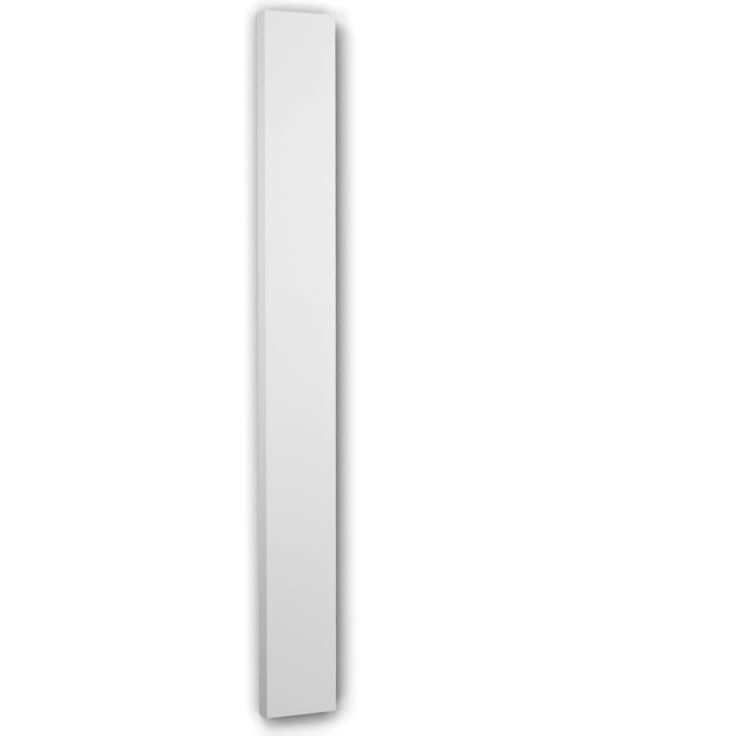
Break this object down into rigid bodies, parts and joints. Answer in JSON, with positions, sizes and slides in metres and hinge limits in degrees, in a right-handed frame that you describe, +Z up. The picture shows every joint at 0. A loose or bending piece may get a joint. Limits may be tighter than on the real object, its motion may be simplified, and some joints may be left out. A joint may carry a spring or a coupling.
{
  "type": "pilaster shaft",
  "caption": "Plain flat pilaster shaft, a long smooth board with square-cut ends and eased front arrises, glued to a wall by its back face.",
  "frame": {"origin": "centre of the back face, the face that is glued to the wall", "axes": "+Z up along the shaft, -Y out of the wall through the front face, +X to the right as seen from the front"},
  "size_m": [0.215, 0.06, 2],
  "materials": {
    "primed_foam": "factory-primed rigid foam moulding, satin matte white"
  },
  "bodies": {
    "root": {"shaft": "primed_foam"}
  },
  "joints": []
}
